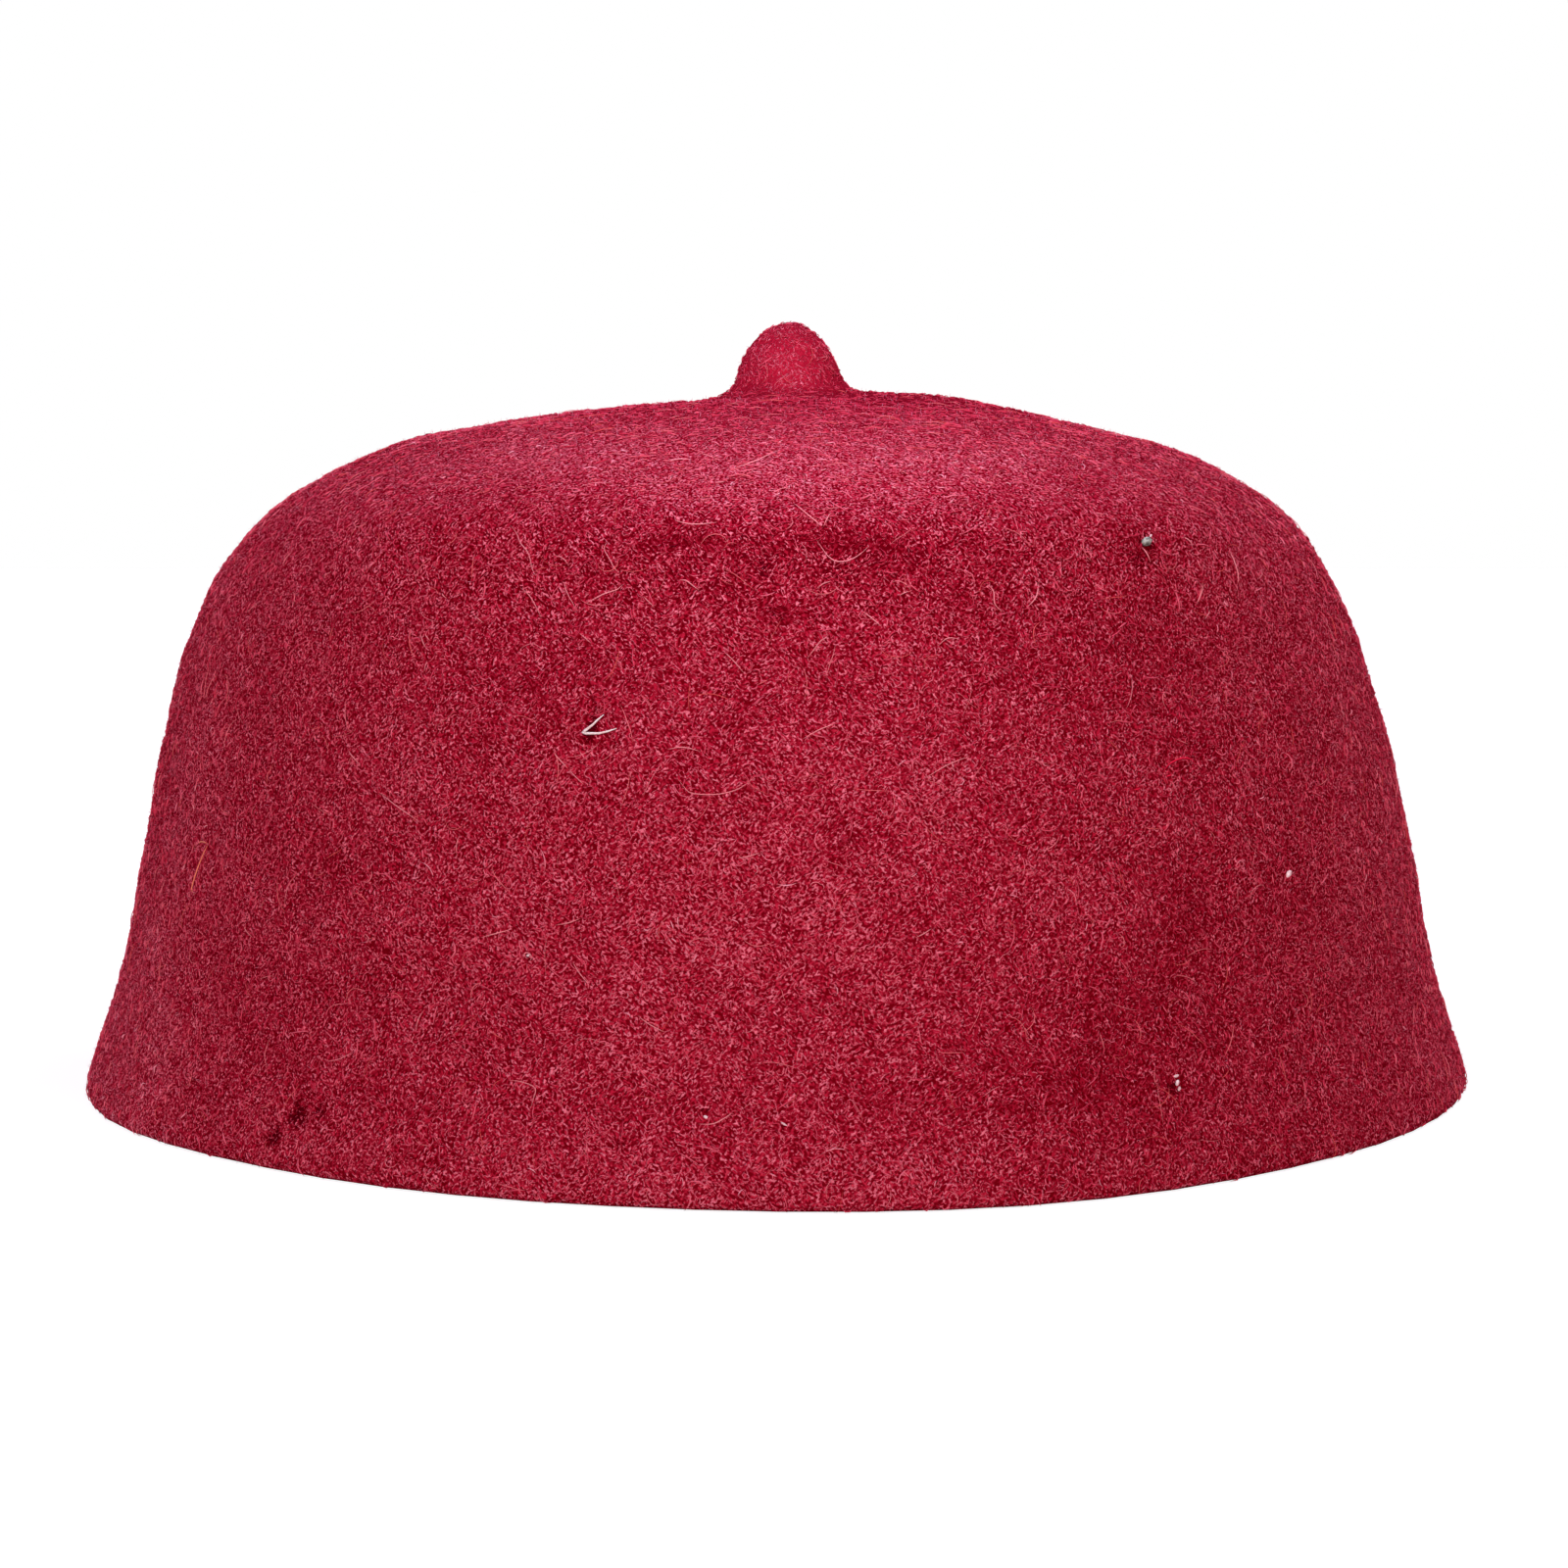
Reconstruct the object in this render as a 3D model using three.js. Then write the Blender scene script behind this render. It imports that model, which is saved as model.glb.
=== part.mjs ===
// A moulded wool-felt cap: a flat dome with a round shoulder, a wall that flares out to the rim,
// and a small solid nub felted into the middle of the top. The felt is one piece, hollow and
// open below. Millimetres, +Z up, with the origin on the table under the middle of the rim.
import * as THREE from 'three';
import { mergeVertices } from 'three/addons/utils/BufferGeometryUtils.js';

// Driving dimensions of the cap
const RIM_WIDTH = 196; // across the flared rim, from side to side
const OVAL = 1.045; // front-to-back depth over width, as a head is longer than it is wide
const CROWN_HEIGHT = 96; // table to the middle of the top, without the nub
const FELT = 2.8; // thickness of the felt
const RIM_ROUND = 1; // rounding of the rim's two edges, which leaves a flat ring to rest on

// Driving dimensions of the nub
const NUB_WIDTH = 15.2; // just above its foot
const NUB_HEIGHT = 10.6; // above the crown
const NUB_OFFSET = 1.3; // to the right of the cap's middle

// Uneven felting: the wall stands a little to the left below the shoulder, and the crown swells
// a little beside the nub
const WALL_LEAN = 0.8;
const SWELL_RISE = 1.9;
const SWELL_PLACE = 23;
const SWELL_REACH = 16;

// Fineness of the mesh
const AROUND = 72; // facets round the cap
const OUTSIDE_STEPS = 2; // profile steps between two sections of the outside
const HOLLOW_STEPS = 1; // the same inside, where the felt is plain
const ROUND_STEPS = 3; // steps in each rounded edge

// Sections of the cap's outside, from above the rim to the middle of the top:
// up is a share of CROWN_HEIGHT, and out is a share of half of RIM_WIDTH
const CAP_SECTIONS = [
  { up: 0.07, out: 0.989 },
  { up: 0.15, out: 0.963 },
  { up: 0.24, out: 0.943 },
  { up: 0.47, out: 0.898 },
  { up: 0.63, out: 0.855 },
  { up: 0.73, out: 0.815 },
  { up: 0.82, out: 0.752 },
  { up: 0.88, out: 0.669 },
  { up: 0.93, out: 0.555 },
  { up: 0.965, out: 0.38 },
  { up: 0.985, out: 0.22 },
  { up: 1, out: 0 },
];

// Sections of the nub, from its foot to its tip:
// up is a share of NUB_HEIGHT, and out is a share of half of NUB_WIDTH
const NUB_SECTIONS = [
  { up: 0, out: 1.5 },
  { up: 0.06, out: 1.2 },
  { up: 0.23, out: 1 },
  { up: 0.44, out: 0.9 },
  { up: 0.63, out: 0.77 },
  { up: 0.82, out: 0.57 },
  { up: 0.95, out: 0.3 },
  { up: 1, out: 0 },
];

// Profile point of a section: x is the distance from the middle, y the height
function capPoint({ up, out }) {
  return new THREE.Vector2((out * RIM_WIDTH) / 2, up * CROWN_HEIGHT);
}

function nubPoint({ up, out }) {
  return new THREE.Vector2((out * NUB_WIDTH) / 2, CROWN_HEIGHT + up * NUB_HEIGHT);
}

// Smooth curve through the given points, with the same number of steps between each two
function smooth(points, steps) {
  const lifted = points.map(({ x, y }) => new THREE.Vector3(x, y, 0));
  const curve = new THREE.CatmullRomCurve3(lifted, false, 'centripetal');
  return curve.getPoints((points.length - 1) * steps).map(({ x, y }) => new THREE.Vector2(x, y));
}

// The same curve moved inwards by the felt's thickness, square to the curve at each point.
// The last point lies on the axis, so it only moves down.
function inside(points) {
  return points.map((point, i) => {
    const ahead = points[Math.min(i + 1, points.length - 1)];
    const behind = points[Math.max(i - 1, 0)];
    const along = ahead.clone().sub(behind).normalize();
    const inwards = i === points.length - 1 ? new THREE.Vector2(0, -1) : new THREE.Vector2(-along.y, along.x);
    return point.clone().addScaledVector(inwards, FELT);
  });
}

// Quarter circle of the rim's rounding about a centre, from one angle to another
function rounding(centreX, fromAngle, toAngle) {
  const arc = new THREE.EllipseCurve(centreX, RIM_ROUND, RIM_ROUND, RIM_ROUND, fromAngle, toAngle);
  return arc.getPoints(ROUND_STEPS);
}

// Closed profile: from the middle of the inside down to the rim, round it and up to the nub's tip
function capProfile() {
  const rimOut = RIM_WIDTH / 2;
  const rimIn = rimOut - FELT;
  const innerEdge = rounding(rimIn + RIM_ROUND, -Math.PI, -Math.PI / 2);
  const outerEdge = rounding(rimOut - RIM_ROUND, -Math.PI / 2, 0);
  const sections = [new THREE.Vector2(rimOut, RIM_ROUND), ...CAP_SECTIONS.map(capPoint)];
  const nub = smooth(NUB_SECTIONS.map(nubPoint), OUTSIDE_STEPS);
  const outside = smooth(sections, OUTSIDE_STEPS).slice(1).filter(({ x }) => x > nub[0].x);
  const hollow = inside(smooth(sections, HOLLOW_STEPS)).slice(1);
  return [...hollow.reverse(), ...innerEdge, ...outerEdge, ...outside, ...nub];
}

// Turns the round, even form into the oval, slightly uneven one
function shapeByHand(geometry) {
  const position = geometry.attributes.position;
  const point = new THREE.Vector3();
  for (let i = 0; i < position.count; i += 1) {
    point.fromBufferAttribute(position, i);
    const up = Math.min(point.z / CROWN_HEIGHT, 1);
    const lean = -WALL_LEAN * Math.sin(Math.PI * up * up) ** 2;
    const toNub = NUB_OFFSET * THREE.MathUtils.smoothstep(point.z, CROWN_HEIGHT - FELT, CROWN_HEIGHT);
    const fromSwell = Math.hypot(point.x - SWELL_PLACE, point.y) / SWELL_REACH;
    point.x += lean + toNub;
    point.y *= OVAL;
    point.z += SWELL_RISE * Math.exp(-fromSwell * fromSwell);
    position.setXYZ(i, point.x, point.y, point.z);
  }
}

function feltCapGeometry() {
  const turned = new THREE.LatheGeometry(capProfile(), AROUND);
  turned.rotateX(Math.PI / 2);
  turned.deleteAttribute('normal');
  turned.deleteAttribute('uv');
  const geometry = mergeVertices(turned);
  shapeByHand(geometry);
  geometry.computeVertexNormals();
  return geometry;
}

const crimsonFelt = new THREE.MeshStandardMaterial({ color: 0xa32336, roughness: 0.95, metalness: 0 });

const feltCap = new THREE.Mesh(feltCapGeometry(), crimsonFelt);
feltCap.name = 'felt_cap';

const kufi = new THREE.Group();
kufi.add(feltCap);

export default kufi;
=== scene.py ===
# %% [markdown]
# # A felt kufi with a nub
# A kufi is a brimless cap. This one is moulded from a single piece of crimson wool felt: a wall that
# flares to a plain rim, a round shoulder, a flat domed crown and a small solid nub on top. There are no
# seams and no trim, so all its character is in the form and in the felt's surface. The lesson models the
# shell with hand tools, gives it a felt finish, and then lays wool fibres, hairs and bits of chaff on it.
#
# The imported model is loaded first, as a fixed frame. It gives the sizes that everything here is worked
# out from.

# %% Load the frame
import math

import bpy
import numpy as np
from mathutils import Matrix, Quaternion, Vector, noise
from mathutils.bvhtree import BVHTree


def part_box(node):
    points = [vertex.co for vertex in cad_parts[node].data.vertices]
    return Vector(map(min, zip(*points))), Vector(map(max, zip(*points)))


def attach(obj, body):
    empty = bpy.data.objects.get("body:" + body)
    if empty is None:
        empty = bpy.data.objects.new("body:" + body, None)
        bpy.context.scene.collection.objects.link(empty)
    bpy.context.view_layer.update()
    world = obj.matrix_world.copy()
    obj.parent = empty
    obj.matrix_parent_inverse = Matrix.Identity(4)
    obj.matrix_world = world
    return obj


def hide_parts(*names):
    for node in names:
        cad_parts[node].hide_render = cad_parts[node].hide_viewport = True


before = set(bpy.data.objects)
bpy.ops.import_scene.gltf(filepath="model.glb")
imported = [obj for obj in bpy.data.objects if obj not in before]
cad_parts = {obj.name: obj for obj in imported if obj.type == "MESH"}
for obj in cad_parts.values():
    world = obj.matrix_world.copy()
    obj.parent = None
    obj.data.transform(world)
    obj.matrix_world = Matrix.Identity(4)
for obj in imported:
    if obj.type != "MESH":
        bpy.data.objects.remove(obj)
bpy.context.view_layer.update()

MM = 0.001
cap_low, cap_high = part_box("felt_cap")
half_width = (cap_high[0] - cap_low[0]) / 2
half_depth = (cap_high[1] - cap_low[1]) / 2
cap_height = cap_high[2] - cap_low[2]
print(f"cap {2 * half_width / MM:.1f} x {2 * half_depth / MM:.1f} x {cap_height / MM:.1f} mm")

# %% [markdown]
# ## The camera
# The photograph was taken from close by, a little above the rim and looking slightly down, so the rim
# bows and the crown shows as a narrow band. The camera comes first, because a few small marks are placed
# by their pixel in the photograph: a line of sight goes through the pixel, and the mark is put where that
# line meets the felt.

# %% Camera at the photograph's angle
PHOTO_SIDE = 1600
PHOTO_MIDDLE = 0.5
SENSOR_MM = 36
LENS_MM = 70
CAMERA_PLACE = Vector((0.8, -443, 76.6)) * MM
CAMERA_PITCH = math.radians(4.7)

bpy.ops.object.select_all(action="DESELECT")
bpy.ops.object.camera_add(location=CAMERA_PLACE, rotation=(math.pi / 2 - CAMERA_PITCH, 0, 0))
camera = bpy.context.object
camera.name = "photo_camera"
camera.data.sensor_width = SENSOR_MM
camera.data.lens = LENS_MM
bpy.context.scene.camera = camera
bpy.context.view_layer.update()


def line_of_sight(pixel):
    """The direction from the camera through a pixel of the 1600 by 1600 photograph."""
    side = SENSOR_MM / LENS_MM
    right = (pixel[0] / PHOTO_SIDE - PHOTO_MIDDLE) * side
    up = (PHOTO_MIDDLE - pixel[1] / PHOTO_SIDE) * side
    return (camera.matrix_world.to_3x3() @ Vector((right, up, -1))).normalized()


print(f"camera {-CAMERA_PLACE.y / MM:.0f} mm in front, {CAMERA_PLACE.z / MM:.0f} mm up")

# %% [markdown]
# ## The shell
# A felt cap is pulled over a block while it is wet, so its form is a stack of smooth rings. A spun
# profile would do, but the wall leans a little and the plan is oval, so the shell is drawn ring by ring:
# a circle at the rim is extruded upwards and each new ring is scaled to its section. The sections are
# shares of the crown's height and of the rim's half width. A short curve helper puts one more ring
# between each two, so that the Subdivision modifier has little left to round off.

# %% Sections of the wall and crown
CROWN_SHARE = 0.8985
RING_POINTS = 64
RINGS_PER_SECTION = 2
WALL_LEAN = 0.8 * MM
crown_height = cap_height * CROWN_SHARE

CAP_SECTIONS = [
    {"up": 0.00, "out": 1.006},
    {"up": 0.02, "out": 1.002},
    {"up": 0.07, "out": 0.986},
    {"up": 0.15, "out": 0.960},
    {"up": 0.24, "out": 0.941},
    {"up": 0.47, "out": 0.898},
    {"up": 0.63, "out": 0.855},
    {"up": 0.73, "out": 0.815},
    {"up": 0.82, "out": 0.752},
    {"up": 0.88, "out": 0.669},
    {"up": 0.93, "out": 0.555},
    {"up": 0.965, "out": 0.38},
    {"up": 0.985, "out": 0.22},
    {"up": 0.993, "out": 0.118},
]


def curve_through(points, steps):
    """Points on a smooth curve through the given ones, with so many steps from each to the next."""
    points = [np.array(point, float) for point in points]
    points = [2 * points[0] - points[1]] + points + [2 * points[-1] - points[-2]]
    curve = []
    for before, start, end, after in zip(points, points[1:], points[2:], points[3:]):
        pairs = ((before, start), (start, end), (end, after))
        gaps = [np.linalg.norm(there - here) ** 0.5 for here, there in pairs]
        leave = (end - start) + gaps[1] / (gaps[0] + gaps[1]) * (
            gaps[1] / gaps[0] * (start - before) - gaps[0] / gaps[1] * (end - start))
        arrive = (end - start) + gaps[1] / (gaps[1] + gaps[2]) * (
            gaps[1] / gaps[2] * (after - end) - gaps[2] / gaps[1] * (end - start))
        for way in np.arange(steps) / steps:
            from_start = (1 + 2 * way) * (1 - way) ** 2 * start + way * (1 - way) ** 2 * leave
            to_end = way ** 2 * (3 - 2 * way) * end - way ** 2 * (1 - way) * arrive
            curve.append(from_start + to_end)
    return curve + [points[-2]]


def wall_lean(up):
    """How far the block's wall leans to the left at a share of the crown's height."""
    return -WALL_LEAN * math.sin(math.pi * up ** 2) ** 2


cap_rings = curve_through(
    [(row["up"] * crown_height, row["out"] * half_width) for row in CAP_SECTIONS], RINGS_PER_SECTION)
print(f"{len(cap_rings)} rings from rim to nub")

# %% Extrude the shell ring by ring
oval = half_depth / half_width

bpy.ops.object.select_all(action="DESELECT")
bpy.ops.mesh.primitive_circle_add(vertices=RING_POINTS, radius=1, fill_type="NOTHING", location=(0, 0, 0))
cap = bpy.context.object
cap.name = "felt_shell"
bpy.ops.object.mode_set(mode="EDIT")
height, reach = cap_rings[0]
bpy.ops.transform.resize(value=(reach, reach * oval, 1), center_override=(0, 0, 0))
for next_height, next_reach in cap_rings[1:]:
    lean = wall_lean(height / crown_height)
    next_lean = wall_lean(next_height / crown_height)
    bpy.ops.mesh.extrude_region_move(
        TRANSFORM_OT_translate={"value": (next_lean - lean, 0, next_height - height)})
    shrink = next_reach / reach
    bpy.ops.transform.resize(value=(shrink, shrink, 1), center_override=(next_lean, 0, next_height))
    height, reach = next_height, next_reach
nub_foot_height, nub_foot_reach = height, reach
bpy.ops.mesh.extrude_region_move()
bpy.ops.mesh.merge(type="CENTER")
bpy.ops.mesh.select_all(action="SELECT")
bpy.ops.mesh.normals_make_consistent(inside=False)
bpy.ops.object.mode_set(mode="OBJECT")
print(f"shell sheet of {len(cap.data.polygons)} faces")

# %% [markdown]
# ## Wall thickness and rim
# The felt is just under 3 mm thick. The sheet drawn above is its outer face, so Solidify grows the wall
# inwards, away from the normals. The cut edge at the rim is flat where it stands on the table and rounded
# by wear at both corners, so its vertices are flattened onto the table and the two edge rings bevelled.

# %% Give the felt its thickness and round the rim
FELT = 2.8 * MM
RIM_ROUND = 1.0 * MM
RIM_SEGMENTS = 2
TABLE_MARGIN = 0.01 * MM


def use_modifier(piece, name, kind, **settings):
    """Adds a modifier with the given settings and applies it."""
    modifier = piece.modifiers.new(name, kind)
    for setting, value in settings.items():
        setattr(modifier, setting, value)
    bpy.context.view_layer.objects.active = piece
    bpy.ops.object.modifier_apply(modifier=name)


def vertex_array(piece, what="co"):
    """The places, or the normals, of a piece's vertices as an array of rows."""
    values = np.empty(len(piece.data.vertices) * 3)
    piece.data.vertices.foreach_get(what, values)
    return values.reshape(-1, 3)


def select_vertices(piece, wanted):
    """Goes to edit mode with only those vertices selected that are marked as wanted."""
    bpy.ops.object.mode_set(mode="EDIT")
    bpy.ops.mesh.select_mode(type="VERT")
    bpy.ops.mesh.select_all(action="DESELECT")
    bpy.ops.object.mode_set(mode="OBJECT")
    piece.data.vertices.foreach_set("select", wanted)
    bpy.ops.object.mode_set(mode="EDIT")


use_modifier(cap, "felt_thickness", "SOLIDIFY", thickness=FELT, offset=-1, use_even_offset=True)
lowest_ring = cap_rings[1][0]
select_vertices(cap, vertex_array(cap)[:, 2] < lowest_ring / 2)
bpy.ops.transform.resize(value=(1, 1, 0), center_override=(0, 0, 0))
bpy.ops.object.mode_set(mode="OBJECT")

for edge in cap.data.edges:
    ends = [cap.data.vertices[index].co for index in edge.vertices]
    on_table = max(end.z for end in ends) < TABLE_MARGIN
    along_rim = abs(ends[0].xy.length - ends[1].xy.length) < FELT / 2
    edge.select = on_table and along_rim
bpy.ops.object.mode_set(mode="EDIT")
bpy.ops.mesh.select_mode(type="EDGE")
bpy.ops.mesh.bevel(offset=RIM_ROUND, offset_type="OFFSET", segments=RIM_SEGMENTS, affect="EDGES")
bpy.ops.object.mode_set(mode="OBJECT")
print(f"wall {FELT / MM:.1f} mm thick, {len(cap.data.polygons)} faces")

# %% [markdown]
# ## The nub
# The nub is drawn out of the same felt while it is soft, and it is solid. On the outer face the fan of
# triangles at the top of the crown is extruded up, section by section, and the last point is pulled to a
# round tip. Growing it from the crown gives the soft fillet at its foot for free.

# %% Draw the nub out of the crown
NUB_WIDTH = 15.2 * MM
NUB_OFFSET = 1.3 * MM
FOOT_SHARE = 0.9
FACING_UP = 0.5
TIP_MARGIN = 0.1 * MM
nub_height = cap_height - crown_height

NUB_SECTIONS = [
    {"up": 0.06, "out": 1.13},
    {"up": 0.23, "out": 1.00},
    {"up": 0.44, "out": 0.90},
    {"up": 0.63, "out": 0.77},
    {"up": 0.82, "out": 0.57},
    {"up": 0.95, "out": 0.30},
]

bpy.ops.object.mode_set(mode="EDIT")
bpy.ops.mesh.select_mode(type="FACE")
bpy.ops.mesh.select_all(action="DESELECT")
bpy.ops.object.mode_set(mode="OBJECT")
for face in cap.data.polygons:
    near_top = face.center.z > nub_foot_height - FELT / 2
    near_axis = face.center.xy.length < nub_foot_reach * FOOT_SHARE
    face.select = near_top and near_axis and face.normal.z > FACING_UP
bpy.ops.object.mode_set(mode="EDIT")
height, reach, offset = nub_foot_height, nub_foot_reach, 0
for row in NUB_SECTIONS:
    next_height = crown_height + row["up"] * nub_height
    next_reach = row["out"] * NUB_WIDTH / 2
    bpy.ops.mesh.extrude_region_move(
        TRANSFORM_OT_translate={"value": (NUB_OFFSET - offset, 0, next_height - height)})
    shrink = next_reach / reach
    bpy.ops.transform.resize(value=(shrink, shrink, 1), center_override=(NUB_OFFSET, 0, next_height))
    height, reach, offset = next_height, next_reach, NUB_OFFSET
bpy.ops.object.mode_set(mode="OBJECT")
places = vertex_array(cap)
from_nub_axis = np.hypot(places[:, 0] - NUB_OFFSET, places[:, 1])
select_vertices(cap, (places[:, 2] > height - TIP_MARGIN) & (from_nub_axis < reach / 2))
bpy.ops.transform.translate(value=(0, 0, cap_height - height))
bpy.ops.object.mode_set(mode="OBJECT")
print(f"nub {nub_height / MM:.1f} mm high, top at {max(v.co.z for v in cap.data.vertices) / MM:.1f} mm")

# %% [markdown]
# ## Swell, bulges and a pressed place
# Felt is never quite even. The crown swells a little to the right of the nub, the rim bulges at the front
# left and front right, and the left shoulder is pressed in a little, which all shows in the outline. A
# Lattice could do it, but each place is made as by hand instead: the point of the felt nearest to its
# middle is picked and moved, and proportional editing takes its neighbours along. The same helper presses
# pits into the felt later.

# %% Lift the swell, bulge the rim and press the shoulder
SWELL_RISE = 1.9 * MM
SWELL_UP = 0.975
SWELL_PLACE = 23 * MM
SWELL_REACH = 27 * MM
BULGES = [
    {"azimuth": -60, "height": 0, "out": 1.0, "push": 1.5 * MM, "reach": 40 * MM},
    {"azimuth": 15, "height": 0, "out": 1.0, "push": 2.2 * MM, "reach": 52 * MM},
    {"azimuth": -85, "height": 84 * MM, "out": 0.75, "push": -0.9 * MM, "reach": 26 * MM},
]


def push_felt(place, move, reach, connected=False):
    """Moves the point of the felt nearest to a place, and its neighbours with a smooth falloff."""
    away = np.linalg.norm(vertex_array(cap) - np.array(place), axis=1)
    select_vertices(cap, away == away.min())
    bpy.ops.transform.translate(
        value=move, use_proportional_edit=True, proportional_edit_falloff="SMOOTH",
        proportional_size=reach, use_proportional_connected=connected)
    bpy.ops.object.mode_set(mode="OBJECT")


swell_height = crown_height * SWELL_UP + FELT / 2
push_felt(Vector((SWELL_PLACE, 0, swell_height)), (0, 0, SWELL_RISE), SWELL_REACH)
for bulge in BULGES:
    turn = math.radians(bulge["azimuth"])
    outward = Vector((math.sin(turn), -math.cos(turn), 0))
    middle = outward * Vector((half_width, half_depth, 0)) * bulge["out"]
    middle += Vector((0, 0, bulge["height"]))
    push_felt(middle, outward * bulge["push"], bulge["reach"])
print(f"swell lifted and {len(BULGES)} places pushed")

# %% [markdown]
# ## Fold, softness and small lumps
# Across the front the crown folds over the wall in a soft ridge, so the points of the shoulder there are
# spread outwards with a sharp falloff. Subdivision then makes the skin smooth, and two Displace modifiers
# with cloud textures, one coarse and one fine, give the low lumps of hand-worked felt. A vertex group
# keeps the lumps away from the rim, whose cut edge is even.
#
# Extruding and bevelling can number a mesh's faces differently from run to run. The fibres are scattered
# face by face later, so points, edges and faces are first sorted by their distance from a far, askew
# point. The fibres then fall on the same places each time.

# %% Fold the front
FOLD_HEIGHTS = (76 * MM, 80 * MM)
FOLD_HALF_ANGLE = 44
FOLD_SPREAD = 1.055
FOLD_REACH = 21 * MM

places = vertex_array(cap)
turned = np.degrees(np.arctan2(places[:, 0], -places[:, 1]))
at_height = (places[:, 2] > FOLD_HEIGHTS[0]) & (places[:, 2] < FOLD_HEIGHTS[1])
select_vertices(cap, at_height & (abs(turned) < FOLD_HALF_ANGLE))
bpy.ops.transform.resize(
    value=(FOLD_SPREAD, FOLD_SPREAD, 1), center_override=(0, 0, 0), use_proportional_edit=True,
    proportional_edit_falloff="SHARP", proportional_size=FOLD_REACH)
bpy.ops.object.mode_set(mode="OBJECT")
print(f"front fold of {sum(vertex.select for vertex in cap.data.vertices)} points")

# %% Sort, subdivide and add lumps
ASKEW = (0.31, 0.47, 0.83)
SKIN_LEVELS = 2
LUMPS = [
    {"size": 9 * MM, "height": 0.7 * MM},
    {"size": 3 * MM, "height": 0.35 * MM},
]
LUMPS_START = 18 * MM

bpy.context.scene.cursor.location = ASKEW
bpy.ops.object.mode_set(mode="EDIT")
bpy.ops.mesh.select_all(action="SELECT")
bpy.ops.mesh.sort_elements(type="CURSOR_DISTANCE", elements={"VERT", "EDGE", "FACE"})
bpy.ops.object.mode_set(mode="OBJECT")
bpy.context.scene.cursor.location = (0, 0, 0)
use_modifier(cap, "smooth_skin", "SUBSURF", levels=SKIN_LEVELS, render_levels=SKIN_LEVELS)
lumpy = cap.vertex_groups.new(name="lumpy")
for vertex in cap.data.vertices:
    lumpy.add([vertex.index], min(max(vertex.co.z / LUMPS_START, 0), 1) ** 2, "REPLACE")
for row in LUMPS:
    lumps = bpy.data.textures.new("felt_lumps", "CLOUDS")
    lumps.noise_scale = row["size"]
    use_modifier(
        cap, "felt_lumps", "DISPLACE", texture=lumps, texture_coords="LOCAL", strength=row["height"],
        vertex_group="lumpy")
select_vertices(cap, vertex_array(cap)[:, 2] < 0)
bpy.ops.transform.resize(value=(1, 1, 0), center_override=(0, 0, 0))
bpy.ops.object.mode_set(mode="OBJECT")
bpy.ops.object.select_all(action="DESELECT")
cap.select_set(True)
bpy.ops.object.shade_smooth()
cap.data.calc_loop_triangles()
print(f"felt shell has {len(cap.data.loop_triangles)} triangles")

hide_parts("felt_cap")
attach(cap, "root")

# %% [markdown]
# ## Pits, nicks and small creases
# Near the rim on the left the felt has small worn pits. There are nicks under a grain of dirt on the right
# shoulder, round a splinter in front and by a few specks, small creases under the fold and a stain.
# Sculpting would do, but each is found by its pixel in the photograph instead: the line of sight through it
# is followed to the felt, and the felt there is pressed in. Staying on connected points keeps the inside of
# the cap as it is. Each also has a darkness, which the felt and the nap take later: painted shade in the
# pits and creases, painted shadow under the grain, the splinter and the specks, and the stain's own colour.

# %% Press the pits in
# Each row: pixel, radius and depth in millimetres, darkness (painted shade or shadow, a stain in one row)
PITS = [
    # Worn pits, with painted shade in them
    ((303, 1138), 1.5, 0.5, 0.6),
    ((326, 1133), 0.9, 0.2, 0.25),
    ((279, 1159), 1.4, 0.4, 0.4),
    # Painted shadow under and round the grey grain
    ((1163, 571), 1.2, 0.3, 0.2),
    ((1170, 553), 1.1, 0.4, 0.35),
    # Painted shadow between and under the splinter's arms
    ((604, 743), 0.8, 0.2, 0.8),
    ((600, 752), 0.7, 0.2, 0.6),
    ((606, 734), 0.5, 0.1, 0.5),
    # Painted shade by the specks and the small curl
    ((1198, 1110), 0.8, 0.2, 0.3),
    ((720, 1133), 0.6, 0.2, 0.22),
    ((539, 977), 0.5, 0.1, 0.3),
    # Painted shade in small creases under the fold
    ((780, 580), 1.3, 0.1, 0.12),
    ((794, 626), 1.3, 0.1, 0.1),
    ((844, 584), 1.4, 0.1, 0.1),
    ((864, 582), 1.2, 0.1, 0.1),
    # A stain
    ((632, 1166), 1.0, 0.2, 0.16),
    # Painted shadow beside a pale straw
    ((802, 1149), 0.5, 0.1, 0.2),
]
skin = BVHTree.FromObject(cap, bpy.context.evaluated_depsgraph_get())


def felt_under(pixel):
    """The place on the felt that a pixel of the photograph shows, and the normal there."""
    place, normal, _, _ = skin.ray_cast(CAMERA_PLACE, line_of_sight(pixel))
    return place, normal


pits = [
    {"pixel": pixel, "radius": radius * MM, "depth": depth * MM, "dark": dark}
    for pixel, radius, depth, dark in PITS]
for pit in pits:
    pit["place"], normal = felt_under(pit["pixel"])
    push_felt(pit["place"], -normal * pit["depth"], 2 * pit["radius"], connected=True)
cap.data.calc_loop_triangles()
print(f"{len(pits)} pits, nicks and creases")
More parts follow.
